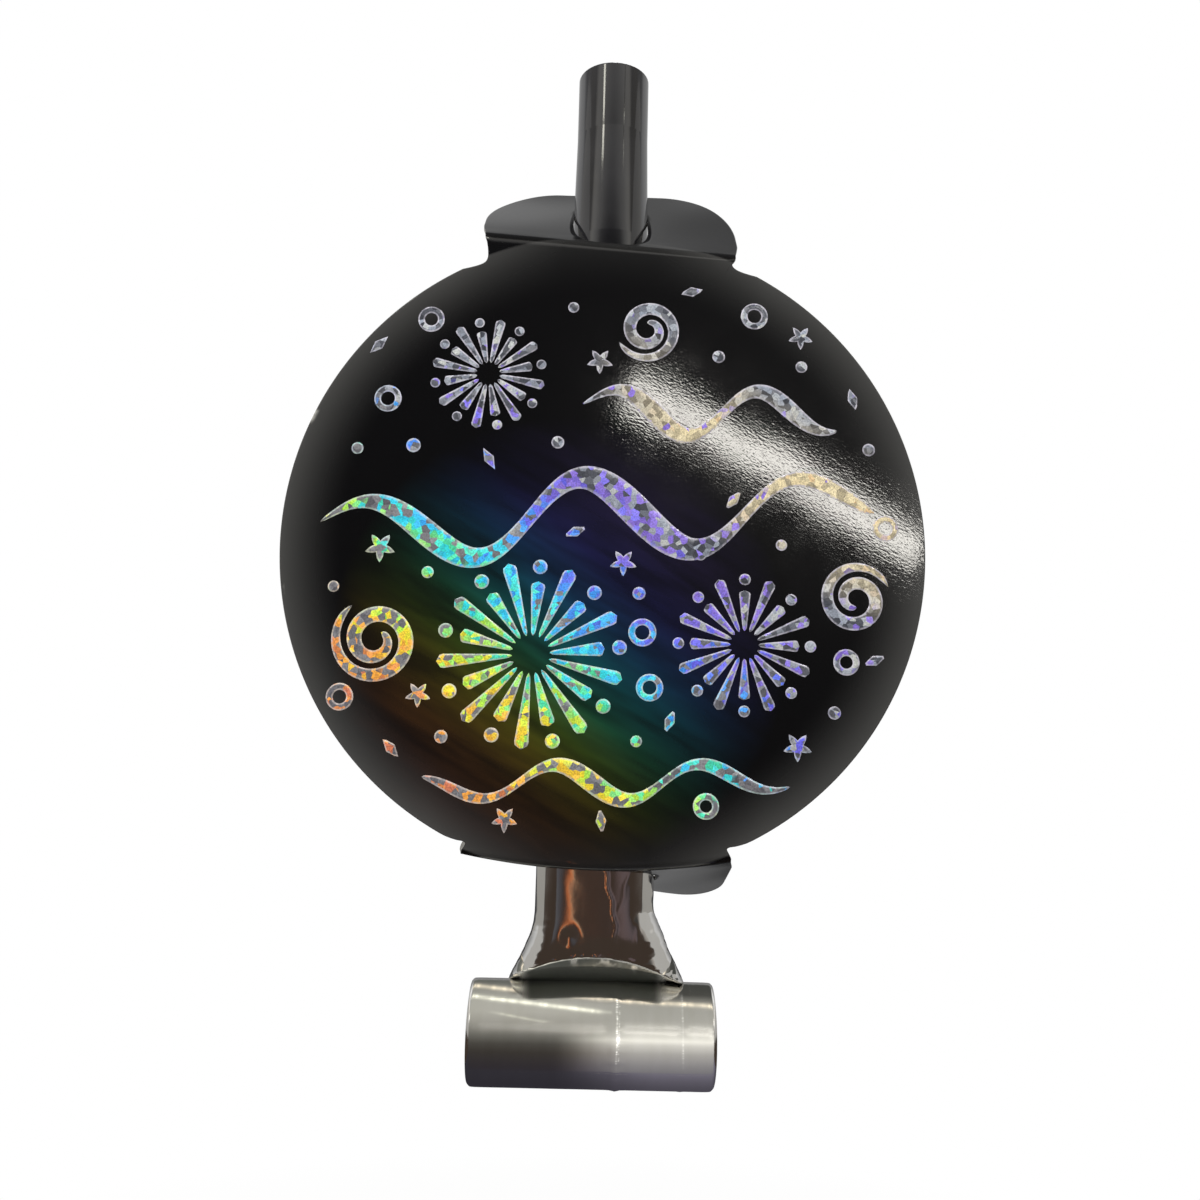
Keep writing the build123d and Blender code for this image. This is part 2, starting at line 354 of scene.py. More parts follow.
def foil_print():
    """Cracked glass foil print: small angular cells, each its own tint of the rainbow at that place, some
    dark, paling to silver and gold at the upper right, with a pale raised line along every edge. The rainbow
    across the disc is painted diffracted light, and the paling to silver and the gold band along the slant of
    the glare are painted reflection."""
    material, tree, shader, place = start_material("rainbow_foil_print", metallic=0.25, ior=1.6)
    cell = add(tree, "TexVoronoi", {"Vector": place, "Scale": 1250.0, "Randomness": 1.0}, feature="F1")
    chance = add(tree, "SeparateColor", {"Color": cell.outputs["Color"]}).outputs
    along, apart = rainbow_place(tree, place)
    jitter = math_node(tree, "MULTIPLY_ADD", chance["Red"], 0.011, -0.0055)
    hue = rainbow(tree, math_node(tree, "ADD", along, jitter))
    gold = ramp(tree, chance["Blue"], [(0.0, (0.46, 0.40, 0.28)), (0.45, (0.60, 0.52, 0.33)),
                                       (0.8, (0.72, 0.62, 0.38)), (1.0, (0.62, 0.42, 0.22))])
    silver = ramp(tree, chance["Blue"], [(0.0, (0.06, 0.065, 0.08)), (0.45, (0.11, 0.12, 0.15)),
                                         (0.75, (0.30, 0.34, 0.42)), (1.0, (0.46, 0.48, 0.46))])
    grey = ramp(tree, chance["Green"], [(0.0, (0.07, 0.07, 0.085)), (0.5, (0.13, 0.13, 0.15)),
                                        (1.0, (0.24, 0.24, 0.26))])
    # The print pales from grey to silver towards the upper right and turns gold in a band along the slant of
    # the glare, which is painted reflection; near and lit set how strongly the painted rainbow light shows.
    up = math_node(tree, "MULTIPLY_ADD", apart["Z"], 0.8, -0.8 * DISC_MIDDLE * MM)
    right = math_node(tree, "MULTIPLY_ADD", apart["X"], 0.6, up)
    off = math_node(tree, "MULTIPLY_ADD", apart["Z"], 0.881, 0.0416)
    off = math_node(tree, "ABSOLUTE", math_node(tree, "MULTIPLY_ADD", apart["X"], 0.472, off))
    painted_glare_gold = times(tree, spread(tree, off, 0.003, 0.010, 1.0, 0.0), spread(tree, apart["X"], -0.002, 0.010))
    near = painted_rainbow_share(tree, apart, 0.010, 0.042, 1.0)
    lit = times(tree, near, spread(tree, right, 0.0, 0.016, 1.0, 0.25))
    dull = mix(tree, painted_glare_gold, mix(tree, spread(tree, right, -0.012, 0.008), grey, silver), gold)
    coloured = math_node(tree, "SUBTRACT", times(tree, lit, 0.86), chance["Green"])
    face = mix(tree, spread(tree, coloured, -0.02, 0.02), dull, hue)
    glitter = noise(tree, place, 5200.0, 1.0)
    face = mix(tree, spread(tree, glitter, 0.35, 0.65, 0.0, 0.45), face, (0.02, 0.02, 0.025))
    edge = add(tree, "Attribute", attribute_name="edge").outputs["Fac"]
    bead = spread(tree, noise(tree, place, 2600.0), 0.32, 0.6, 0.25, 1.0)
    line = times(tree, bead, spread(tree, edge, 0.5, 0.85))
    tilt = vector_node(tree, "SUBTRACT", cell.outputs["Color"], (0.5, 0.5, 0.5))
    tilt = add(tree, "VectorMath", {0: tilt, "Scale": 0.35}, operation="SCALE").outputs[0]
    facing = vector_node(tree, "ADD", add(tree, "NewGeometry").outputs["Normal"], tilt)
    feed(tree, shader, base_color=mix(tree, line, face, mix(tree, 0.15, (0.46, 0.46, 0.45), hue)),
         roughness=spread(tree, chance["Blue"], 0.0, 1.0, 0.2, 0.42),
         normal=vector_node(tree, "NORMALIZE", facing))
    return material


def silver_foil(name, low, high):
    """Thin metal film: bright, with shallow waves, fine crinkles and rubbed streaks. Where edge is marked it
    carries painted shade, darker, rougher and less metallic, and it is more polished where its mark is below
    nought."""
    material, tree, shader, place = start_material(name)
    wave = noise(tree, place, 260.0)
    crease = add(tree, "TexVoronoi", {"Vector": place, "Scale": 700.0}, feature="F1").outputs["Distance"]
    fine = noise(tree, place, 2600.0, 3.0)
    streak = noise(tree, place, 1.0, 3.0, (900, 260, 260))
    bright = ramp(tree, streak, [(0.3, (0.83, 0.82, 0.79)), (0.7, (0.86, 0.85, 0.83))])
    # The edge mark paints shade: darker, rougher and less metallic foil.
    dull = add(tree, "Attribute", attribute_name="edge").outputs["Fac"]
    gloss = spread(tree, streak, 0.3, 0.7, low, high)
    feed(tree, shader, base_color=mix(tree, dull, bright, (0.05, 0.055, 0.048)),
         metallic=math_node(tree, "MULTIPLY_ADD", dull, -0.5, 1.0),
         roughness=math_node(tree, "MULTIPLY_ADD", dull, 0.4, gloss))
    relief(tree, shader, (wave, 0.000006), (crease, 0.000002), (fine, 0.0000016))
    return material


def spring_steel():
    """Thin spring strip: drawn lines along it, cool grey."""
    material, tree, shader, place = start_material("drawn_spring_steel", metallic=1.0)
    drawn = noise(tree, place, 1.0, 3.0, (6000, 120, 120))
    grey = ramp(tree, drawn, [(0.3, (0.40, 0.40, 0.41)), (0.7, (0.58, 0.58, 0.6))])
    feed(tree, shader, base_color=grey, roughness=spread(tree, drawn, 0.3, 0.7, 0.22, 0.38))
    relief(tree, shader, (drawn, 0.000006))
    return material


def reed_plastic(name, pale, dull, gloss):
    """Moulded reed parts: milky plastic with a flow pattern and a fine grain."""
    material, tree, shader, place = start_material(name, ior=1.5)
    flow = noise(tree, place, 260.0, 4.0)
    grain = noise(tree, place, 3200.0)
    feed(tree, shader, base_color=ramp(tree, flow, [(0.3, dull), (0.7, pale)]),
         roughness=spread(tree, flow, 0.3, 0.7, gloss, gloss + 0.14))
    relief(tree, shader, (grain, 0.000006))
    return material


PLASTIC = black_plastic()
CARD = gloss_card()
BOARD = plain_card("pale_board_back", (0.66, 0.65, 0.61), (0.52, 0.50, 0.46))
CORE = plain_card("dark_board_edge", (0.05, 0.05, 0.05), (0.34, 0.33, 0.31))
PRINT = foil_print()
FOIL = silver_foil("silver_foil_film", 0.06, 0.11)
ROLLED = silver_foil("silver_foil_rolled", 0.15, 0.18)
STEEL = spring_steel()
REED = reed_plastic("milky_reed_plastic", (0.80, 0.80, 0.76), (0.70, 0.69, 0.64), 0.4)
FILM = reed_plastic("clear_reed_film", (0.74, 0.77, 0.79), (0.62, 0.65, 0.68), 0.18)


# Card medallion

def bent_card(x, s):
    """Front of the card over its flat pattern, x across and s up from the disc's middle. It is flat up to
    each crease, turns on an arc of FOLD_LENGTH through the tab's angle and runs straight on; the sides bow
    back, the upper crease leans and the lower one sags at its middle."""
    x, s = np.broadcast_arrays(np.asarray(x, float), np.asarray(s, float))
    past = np.abs(s) - FOLD_HEIGHT
    angle = np.radians(np.where(s > 0, TOP_TAB_ANGLE, np.interp(x, BOTTOM_TAB_X, BOTTOM_TAB_ANGLES)))
    half = FOLD_LENGTH / 2
    turned = angle * np.clip((past + half) / FOLD_LENGTH, 0, 1)
    beyond = np.maximum(past - half, 0)
    back = FOLD_LENGTH / angle * (1 - np.cos(turned)) + beyond * np.sin(angle)
    rise = np.minimum(past, -half) + FOLD_LENGTH / angle * np.sin(turned) + beyond * np.cos(angle)
    z = DISC_MIDDLE + np.sign(s) * (FOLD_HEIGHT + rise)
    z = np.where(np.abs(s) < 1.0, DISC_MIDDLE + s, z)
    z = z - 1.1 * x / TAB_ROOT * ease((s - 36.2) / 2.7) * (1 - ease(past / TAB_LENGTH))
    z = z - np.where(s > 0, 0.5, 0.0) * ease(past / TAB_LENGTH)
    z = z + (1.5 * (x / TAB_ROOT) ** 2 - 0.25) * ease((-s - 35.5) / 3.2)
    y = CARD_FRONT + back + 0.8 * (np.abs(x) / DISC_RADIUS) ** 2.5
    wave = ripple(x, s, 5, 9.0, 22.0)
    y = y + 0.008 * wave * ease((DISC_RADIUS - np.hypot(x, s)) / 8) + 0.02 * wave * ease(past / 3)
    z = z + 0.05 * wave * ease(past / 3)
    return xyz(x, y, z)


def on_card(x, s, lift):
    """A point lifted off the card's front along its normal, the cross product of the card's two slopes."""
    here = bent_card(x, s)
    across = bent_card(x + 0.05, s) - here
    up = bent_card(x, s + 0.05) - here
    normal = np.cross(across, up)
    normal /= np.linalg.norm(normal, axis=-1, keepdims=True)
    return here + normal * np.asarray(lift)[..., None]


def tab_reach(angle, hole, round_x, round_t):
    """Distance from a tab's hole to its outline in a direction: straight along the crease, a waist, sides
    that widen to TAB_HALF_WIDTH, round corners and a straight end, read from a close run of outline
    points."""
    t = np.linspace(0, TAB_LENGTH, 500)
    corner = np.clip((t - TAB_LENGTH + round_t) / round_t, 0, 1)
    side = TAB_ROOT + (TAB_HALF_WIDTH - TAB_ROOT) * ease(t / 4) - round_x * (1 - np.sqrt(1 - corner ** 2))
    end = np.linspace(side[-1], -side[-1], 120)[1:-1]
    crease = np.linspace(-TAB_ROOT, TAB_ROOT, 200)[1:-1]
    line_x = np.concatenate([side, end, -side[::-1], crease])
    line_t = np.concatenate([t, np.full(len(end), TAB_LENGTH), t[::-1], np.zeros(len(crease))]) - hole
    turn = np.unwrap(np.arctan2(line_t, line_x))
    order = np.argsort(turn)
    return np.interp(angle, turn[order], np.hypot(line_x, line_t)[order], period=2 * np.pi)


def tab_ring(side):
    """A ring grid over a tab, from its outline in to its hole, as x and the distance past the crease; its
    first points run along the crease. The upper hole is square towards the crease, which it reaches."""
    middle, wide, near, far = TAB_HOLES[side]
    left = math.atan2(-middle, -TAB_ROOT)
    right = math.atan2(-middle, TAB_ROOT)
    crease = np.linspace(left, right, CREASE_POINTS)
    rest = np.linspace(right, left + 2 * np.pi, 300)[1:-1]
    turn = np.concatenate([crease, rest])
    reach = tab_reach(turn, middle, *TAB_CORNERS[side])
    reach[:CREASE_POINTS] = middle / np.abs(np.sin(crease))
    outer_x, outer_t = reach * np.cos(turn), middle + reach * np.sin(turn)
    square = np.where((np.sin(turn) < 0) & (side > 0), 0.5, 1.0)
    inner_x = wide * np.sign(np.cos(turn)) * np.abs(np.cos(turn)) ** square
    inner_t = middle + np.where(np.sin(turn) < 0, -near, far) * np.abs(np.sin(turn)) ** square
    share = np.concatenate([np.linspace(0, 0.12, 13), np.linspace(0.12, 1, 16)[1:]])[:, None]
    return outer_x + (inner_x - outer_x) * share, outer_t + (inner_t - outer_t) * share


def right_rim():
    """The card's right outline from the lower crease to the upper one: a waist, the round rim and a waist. A
    waist is a rational curve from the rim to the crease's end, pulled towards the inner corner."""
    u = np.linspace(0, 1, 15)[1:-1]
    shares = np.stack([(1 - u) ** 2, 4.5 * u * (1 - u), u ** 2])
    joins = [math.radians(join) for join, _ in WAISTS]
    waists = []
    for join, (_, pull) in zip(joins, WAISTS):
        rim = [DISC_RADIUS * math.cos(join), DISC_RADIUS * math.sin(join)]
        corners = np.array([[TAB_ROOT, FOLD_HEIGHT], pull, rim])
        waists.append((corners.T @ shares / shares.sum(axis=0))[:, ::-1])
    (low_x, low_s), (top_x, top_s) = waists
    arc = np.linspace(-joins[0], joins[1], 122)
    return (np.concatenate([low_x[::-1], DISC_RADIUS * np.cos(arc), top_x]),
            np.concatenate([-low_s[::-1], DISC_RADIUS * np.sin(arc), top_s]))


def card_medallion():
    """The card: a grid over the disc, its outline shrunk to the middle in steps, and a ring grid on each tab,
    sharing the disc's points along the crease."""
    rings = {side: tab_ring(side) for side in (1, -1)}
    right_x, right_s = right_rim()
    top_x = rings[1][0][0, :CREASE_POINTS][::-1]
    low_x = rings[-1][0][0, :CREASE_POINTS]
    level = np.full(CREASE_POINTS, FOLD_HEIGHT)
    rim_x = np.concatenate([low_x, right_x, top_x, -right_x[::-1]])
    rim_s = np.concatenate([-level, right_s, level, right_s[::-1]])
    share = np.concatenate([np.linspace(0.03, 0.96, 30), np.linspace(0.96, 1, 14)[1:]])[:, None]
    disc = bent_card(rim_x * share, rim_s * share)
    rows, columns = disc.shape[:2]
    points = [bent_card(0.0, 0.0)[None], disc.reshape(-1, 3)]
    faces = [[0, 1 + i, 1 + (i + 1) % columns] for i in range(columns)]
    faces += grid_faces(rows, columns, 1, True, True).tolist()
    last = 1 + (rows - 1) * columns
    crease = np.arange(CREASE_POINTS)
    shared = {1: last + CREASE_POINTS + len(right_x) + crease[::-1], -1: last + crease}
    for side, (x, t) in rings.items():
        first = sum(len(run) for run in points)
        ring = bent_card(x, side * (FOLD_HEIGHT + t))
        points.append(ring.reshape(-1, 3))
        number = np.arange(first + x.size)
        number[first:first + CREASE_POINTS] = shared[side]
        faces += number[grid_faces(*ring.shape[:2], first, True, side < 0)].tolist()
    points = np.concatenate(points)
    used = np.unique(np.concatenate([np.ravel(face) for face in faces]))
    renumber = np.zeros(len(points), int)
    renumber[used] = np.arange(len(used))
    faces = [renumber[face] for face in faces]
    piece = make_piece("card_medallion", points[used], faces, [CARD, BOARD, CORE])
    wall = piece.modifiers.new("board", "SOLIDIFY")
    wall.thickness = CARD_THICKNESS * MM
    wall.offset = -1.0
    wall.use_even_offset = True
    wall.material_offset = 1
    wall.material_offset_rim = 2
    return piece


# Foil print: flat shapes given in (x, s) on the card, with the lift and the edge's mark across a stroke

ACROSS = np.array([-1.0, -0.74, -0.42, 0.0, 0.42, 0.74, 1.0])
LIFT = np.array([0.006, 0.05, 0.06, 0.06, 0.06, 0.05, 0.006])
EDGE = np.array([1.0, 0.72, 0.0, 0.0, 0.0, 0.72, 1.0])


def ribbon(x, s, half, closed=False):
    """A raised stroke: across its path at each point it runs from -half to +half along the path's normal,
    flat on top and falling to the card at its edges."""
    path = np.stack([x, s], axis=-1)
    if closed:
        slope = np.roll(path, -1, 0) - np.roll(path, 1, 0)
    else:
        slope = np.gradient(path, axis=0)
    slope /= np.linalg.norm(slope, axis=1, keepdims=True)
    side = np.stack([slope[:, 1], -slope[:, 0]], axis=-1)
    half = np.broadcast_to(half, len(path))
    rim = np.minimum(0.17 / np.maximum(half, 0.3), 0.5)
    brim = np.sign(ACROSS) * (1 - rim[:, None] * (np.abs(ACROSS) < 1))
    reach = np.where(np.abs(ACROSS) > 0.7, brim, ACROSS)
    spread_x = x[:, None] + side[:, :1] * reach * half[:, None]
    spread_s = s[:, None] + side[:, 1:] * reach * half[:, None]
    points = on_card(spread_x, spread_s, np.broadcast_to(LIFT, spread_x.shape))
    edge = np.broadcast_to(EDGE, spread_x.shape)
    rows, columns = spread_x.shape
    if closed:
        points = np.concatenate([points, points[:1]])
        edge = np.concatenate([edge, edge[:1]])
        rows += 1
    return points.reshape(-1, 3), grid_faces(rows, columns), edge.reshape(-1)


def blob(x, s, reach):
    """A raised filled shape: a polar grid from its middle out to reach, an array of radii over one turn."""
    turn = np.linspace(0, 2 * np.pi, len(reach), endpoint=False)
    share = np.array([0.02, 0.5, 0.8, 1.0])[:, None]
    lift = np.array([0.07, 0.065, 0.05, 0.006])[:, None] + 0 * turn
    points = on_card(x + share * reach * np.cos(turn), s + share * reach * np.sin(turn), lift)
    edge = np.array([0.0, 0.0, 0.72, 1.0])[:, None] + 0 * turn
    return points.reshape(-1, 3), grid_faces(4, len(reach), 0, True, True), edge.reshape(-1)


def dot(x, s, radius):
    """A round dot: even radius."""
    return blob(x, s, np.full(28, radius))


def star(x, s, radius):
    """A star of five tips: the radius runs almost straight between tips and waists."""
    tips = 5
    waist = 0.42 * radius
    turn = np.linspace(0, tips, 12 * tips, endpoint=False) + 0.25 * tips
    return blob(x, s, waist + (radius - waist) * np.abs(2 * (turn % 1.0) - 1) ** 1.3)


def diamond(x, s, lean):
    """A diamond: the radius is one over the sum of |cos| / long and |sin| / short, turned by lean."""
    turn = np.linspace(0, 2 * np.pi, 24, endpoint=False) - lean
    return blob(x, s, 1 / (np.abs(np.cos(turn)) / 1.6 + np.abs(np.sin(turn)) / 0.65))


def ring(x, s, radius):
    """A small ring: a stroke round a circle."""
    turn = np.linspace(0, 2 * np.pi, 40, endpoint=False)
    return ribbon(x + radius * np.cos(turn), s + radius * np.sin(turn), 0.42, True)


def burst(x, s, radius, rays, turn):
    """A firework: rays that widen from the middle to round ends, every other one shorter and ended by a
    dot."""
    shapes = []
    for number in range(rays):
        lean = turn + 2 * np.pi * number / rays
        far = radius * (1.0 if number % 2 else 0.78)
        u = np.linspace(0, 1, 22)
        run = radius * 0.2 + (far - radius * 0.2) * u
        tip = np.sqrt(np.clip(1 - ((u - 0.9) / 0.1).clip(0) ** 2, 0.003, 1))
        half = (0.22 + 0.062 * radius * u) * tip * np.sqrt(np.clip(u / 0.06, 0.02, 1))
        shapes.append(ribbon(x + run * np.cos(lean), s + run * np.sin(lean), half))
        if number % 2 == 0:
            out = far + 0.16 * radius
            shapes.append(dot(x + out * np.cos(lean), s + out * np.sin(lean), 0.065 * radius + 0.15))
    return shapes


def streamer(start, end, height, waves, width, phase):
    """A waving paper streamer: a sine wave about the line from start to end, broad where it falls and slim
    where it rises, tapering to its tips."""
    u = np.linspace(0, 1, 150)
    along = np.subtract(end, start)
    side = np.array([-along[1], along[0]]) / np.hypot(*along)
    swing = height * np.sin(2 * np.pi * waves * u + phase) * (0.55 + 0.45 * np.sin(np.pi * u))
    x = start[0] + along[0] * u + side[0] * swing
    s = start[1] + along[1] * u + side[1] * swing
    fall = 0.5 - 0.5 * np.cos(2 * np.pi * waves * u + phase)
    half = width * (0.42 + 0.58 * fall) * np.clip(np.sin(np.pi * u), 0.0004, 1) ** 0.4
    return ribbon(x, s, half)


def curl(x, s, radius, turns, lean, width):
    """A curled streamer: a spiral whose radius falls evenly, with tapered tips."""
    u = np.linspace(0, 1, 110)
    turn = lean + 2 * np.pi * turns * u
    reach = radius * (1 - 0.78 * u)
    half = width * np.clip(np.sin(np.pi * (0.06 + 0.9 * u)), 0.001, 1) ** 0.6
    half = half * np.sqrt(np.clip(np.minimum(u, 1 - u) / 0.03, 0.001, 1))
    return ribbon(x + reach * np.cos(turn), s + reach * np.sin(turn), half)


def print_piece(name, shapes):
    """One piece from many raised shapes, their points and faces put end to end."""
    starts = np.cumsum([0] + [len(points) for points, _, _ in shapes])
    points = np.concatenate([points for points, _, _ in shapes])
    faces = np.concatenate([faces + first for first, (_, faces, _) in zip(starts, shapes)])
    edge = np.concatenate([edge for _, _, edge in shapes])
    return make_piece(name, points, faces, [PRINT], edge=edge)


def foil_prints():
    """Generic party ornament: fireworks, streamers, curls, stars, rings, dots and diamonds over the disc."""
    bursts = burst(-8.5, -13.8, 11.5, 18, 0.1) + burst(-15.0, 21.5, 7.2, 16, 0.2)
    bursts += burst(17.5, -12.0, 8.6, 16, 0.0)
    streamers = [streamer((-35.0, 1.0), (33.5, 6.0), 5.0, 2.5, 2.0, 0.4),
                 streamer((-21.0, -29.8), (23.0, -28.0), 2.2, 2.5, 1.2, 2.2),
                 streamer((-3.0, 17.5), (29.0, 17.0), 3.2, 1.75, 1.45, 0.2),
                 curl(-27.5, -12.5, 5.2, 1.8, 2.2, 0.95), curl(31.2, -6.0, 4.4, 1.7, 0.4, 0.85),
                 curl(5.0, 27.8, 4.0, 1.7, 3.6, 0.8)]
    dots = [(-31.0, 11.5, 0.75), (-24.0, 12.0, 0.9), (-4.5, 30.5, 0.7), (-6.0, 12.8, 0.8), (14.0, 24.5, 0.8),
            (24.5, 23.5, 0.75), (33.0, 13.0, 0.8), (12.0, -1.0, 0.7), (4.5, -6.0, 0.8), (-21.5, -4.0, 0.75),
            (-19.0, -24.0, 0.8), (4.5, -24.0, 0.7), (28.5, -20.0, 0.8), (-33.0, -6.0, 0.7), (22.0, 0.5, 0.7)]
    rings = [(-27.5, 18.0, 1.3), (-22.5, 28.5, 1.25), (18.5, 30.0, 1.3), (35.0, 3.0, 1.2), (6.0, -17.5, 1.25),
             (-31.5, -19.5, 1.25), (13.0, -31.5, 1.15), (5.0, -10.8, 1.3), (30.0, -13.8, 1.2)]
    stars = [(-27.5, -1.0, 1.9), (-1.0, 23.5, 1.7), (24.4, 27.4, 1.6), (-11.0, -33.6, 1.6),
             (2.5, -2.2, 1.7), (24.0, -24.2, 1.8), (-22.0, -19.0, 1.6)]
    gems = [(-29.0, 25.0, 0.8), (10.5, 33.0, 0.2), (31.0, 19.5, 1.9), (16.0, 6.0, 0.9), (-14.5, 10.5, 2.1),
            (-3.5, 1.5, 0.4), (8.5, -21.5, 1.2), (33.5, -13.5, 0.4), (0.5, -33.5, 1.7), (-25.0, -25.5, 2.3)]
    small = [shape(*values) for shape, places in ((dot, dots), (ring, rings), (star, stars), (diamond, gems))
             for values in places]
    return [print_piece("print_fireworks", bursts), print_piece("print_streamers", streamers),
            print_piece("print_confetti", small)]


# Foil neck

def foil_neck():
    """Sleeve of foil round the tube's end, down to the roll. Round the sleeve the section is a polygon with
    soft corners: the reach in a direction is the smooth least of its distances to the flats. Down the sleeve
    it keeps the tube's size, then widens to a slot, and the front stays full down to an arched ridge and
    slants back below it. Below the ridge the front carries painted shade, darker, rougher and less metallic,
    which is lighter where the foil is crumpled."""
    rows, columns = 120, 220
    z = np.linspace(NECK_TOP, NECK_END, rows)[:, None]
    turn = np.linspace(0, 2 * np.pi, columns, endpoint=False)[None]
    drops = np.array([101.7, 111.5, 112.7, 114.2, 115.8, 117.4, 118.8, 120.18])
    wide = np.interp(-z, drops, [NECK_WIDE, NECK_WIDE, 7.45, 7.7, 8.25, 8.95, 9.75, 10.5])
    deep = np.interp(-z, drops, [NECK_DEEP, NECK_DEEP, NECK_DEEP, 5.85, 5.75, 5.6, 5.5, 5.4])
    window = np.ones(13) / 13
    wide, deep = (np.convolve(np.pad(run[:, 0], 6, "edge"), window, "valid")[:, None] for run in (wide, deep))
    facing = np.radians(NECK_FACING)[:, None]
    press = (np.maximum(np.cos(turn - facing), 0) / np.array(NECK_REACH)[:, None]) ** 16
    size = press.sum(axis=0)[None] ** (-1 / 16)
    x = size * np.cos(turn) * wide / NECK_WIDE
    y = size * np.sin(turn) * deep / NECK_DEEP
    x = x + 0.9 * ease(x / 6) * ease((-z - 111) / 4)
    ridge = np.where(y < 0, -116.6 - 2.1 * (x / 8.5) ** 2, -113.0 - 1.5 * (x / 8.5) ** 2)
    full = np.clip((z - NECK_END) / (ridge - NECK_END), 0, 1)
    y = y * (0.075 + 0.925 * (1 - (1 - full) ** 1.15))
    front = ease(-y / 2.0 + 0.2)
    lower = ease((-110.5 - z) / 6)
    fold = 0.05 * bump(x + 5.9, 0.22) + 0.06 * bump(x - 5.5 - 0.05 * (z + 110), 0.25)
    split = ease((z + 113.5) / 8)
    seam = bump(x - 2.5 + 1.3 * split - 0.12 * np.sin(z * 2.1), 0.17)
    seam = seam + 0.7 * split * bump(x - 2.5 - 1.7 * split - 0.15 * np.sin(z * 1.7), 0.17)
    drop = np.exp(-(((x + 3.0) / 1.0) ** 2 + ((z + 114.3) / 1.3) ** 2))
    span = ((-11.0, 11.0), (NECK_END - 1, NECK_TOP + 1))
    cells = ((11, 1.7), (12, 0.8), (15, 0.6))
    facet, small, tiny = (crinkle(x, z, seed, cell, span) - 0.5 for seed, cell in cells)
    puff = front * (0.05 * seam - 0.10 * drop + fold + 0.008 * bump(z + 112.45, 0.35))
    rough = 0.002 + 0.07 * lower * ease((np.abs(x) - 4.0) / 5) + 0.05 * ease((x - 5.6) / 1.2)
    puff = puff + rough * (facet + 0.6 * small) + 0.003 * ripple(x, z, 14, 2.0, 6.0)
    puff = puff + bump(z - ridge, 0.4) * front * (0.03 + 0.16 * tiny)
    puff = puff * ease((z - NECK_END) / 0.5)
    out_x, out_y = x / wide ** 2, y / deep ** 2
    scale = np.hypot(out_x, out_y)
    points = xyz(x + puff * out_x / scale, y + puff * out_y / scale, z)
    # Below the ridge on the front the foil carries painted shade: darker, rougher and less metallic, lighter
    # where it is crumpled.
    painted_shade_below_ridge = ease((1.0 - full) / 0.05) * ease((-y - 0.1) / 0.4) * ease((9.5 - np.abs(x)) / 2)
    crumple = ease((crinkle(x, 0.6 * z + 0.25 * x, 16, 0.75, ((-11, 11), (-76, -60))) - 0.55) / 0.3)
    dull = painted_shade_below_ridge * (0.97 - 0.6 * crumple * bump(z - ridge + 0.1, 0.7) * ease((x + 6) / 4))
    faces = grid_faces(rows, columns, 0, True, True)
    piece = make_piece("neck_foil", points.reshape(-1, 3), faces, [FOIL], edge=dull.ravel())
    wall = piece.modifiers.new("film", "SOLIDIFY")
    wall.thickness = NECK_WALL * MM
    wall.offset = -1.0
    return piece


# Foil roll

def roll_centres():
    """Middle of each link's arc: each steps inwards along the line where two links meet, so the arcs join
    smoothly."""
    step = ROLL_PITCH * LINK_ANGLE / 360
    ends = np.radians(90 + LINK_ANGLE * np.arange(1, LINKS))
    moves = step * np.stack([np.cos(ends), np.sin(ends)], axis=-1)
    first = np.array([[ROLL_START[0], ROLL_START[1] - ROLL_RADIUS]])
    return np.concatenate([first, first + np.cumsum(moves, axis=0)])


CENTRES = roll_centres()


def roll_point(x, turn, lift):
    """A point of the wound strip: turn degrees on from its start it lies on the arc of its link, radius
    lessening by an equal step from link to link, lifted outwards from the arc."""
    link = np.clip((turn / LINK_ANGLE).astype(int), 0, LINKS - 1)
    radius = ROLL_RADIUS - link * ROLL_PITCH * LINK_ANGLE / 360 + lift
    lean = np.radians(90 + turn)
    return xyz(x, CENTRES[link, 0] + radius * np.cos(lean), CENTRES[link, 1] + radius * np.sin(lean))


def foil_relief(x, side, turn, start):
    """How the foil departs from a plain strip, as the lift of both faces, the lift of the outer face alone
    and the polish: shallow waves and edges that roll in, then a crinkled ridge over the spring, crumples
    where the strip leaves the neck and a faint crease, which are rubbed bright."""
    run = turn * math.radians(ROLL_RADIUS - 0.0005 * start)
    around = run % 36

    def facets(seed, cell, reach_x, reach_run):
        """Crumples over the strip, above and below nought."""
        return crinkle(x, around, seed, cell, (reach_x, (0, reach_run))) - 0.5

    wave = 0.006 * ripple(x, run, 21, 4.0, 12.0) + 0.006 * facets(22, 2.0, (-15, 15), 36)
    both = 0.8 * wave * ease((1 - np.abs(side)) / 0.05) - 0.2 * ease((np.abs(side) - 0.965) / 0.035) ** 2
    beside = x - SPRING_X - 0.3 - 0.12 * np.sin(run * 0.9)
    ridge = 0.09 * bump(beside, 0.24) + 0.06 * bump(beside, 0.6)
    ridge = ridge + 0.07 * bump(beside, 0.8) * facets(23, 0.6, (-1, 7), 36)
    nip = bump(turn - 12.0, 7.0) * ease((9.0 - np.abs(x)) / 2)
    ridge = ridge + 0.09 * nip * facets(24, 0.7, (-11, 11), 6)
    ridge = ridge + 0.05 * bump(x - CREASE_X - 0.1 * np.sin(run * 0.6), 0.22)
    polish = 0.32 * bump(beside, 0.9) + 0.25 * nip + 0.3 * bump(x - CREASE_X, 0.4)
    return both, ridge, polish


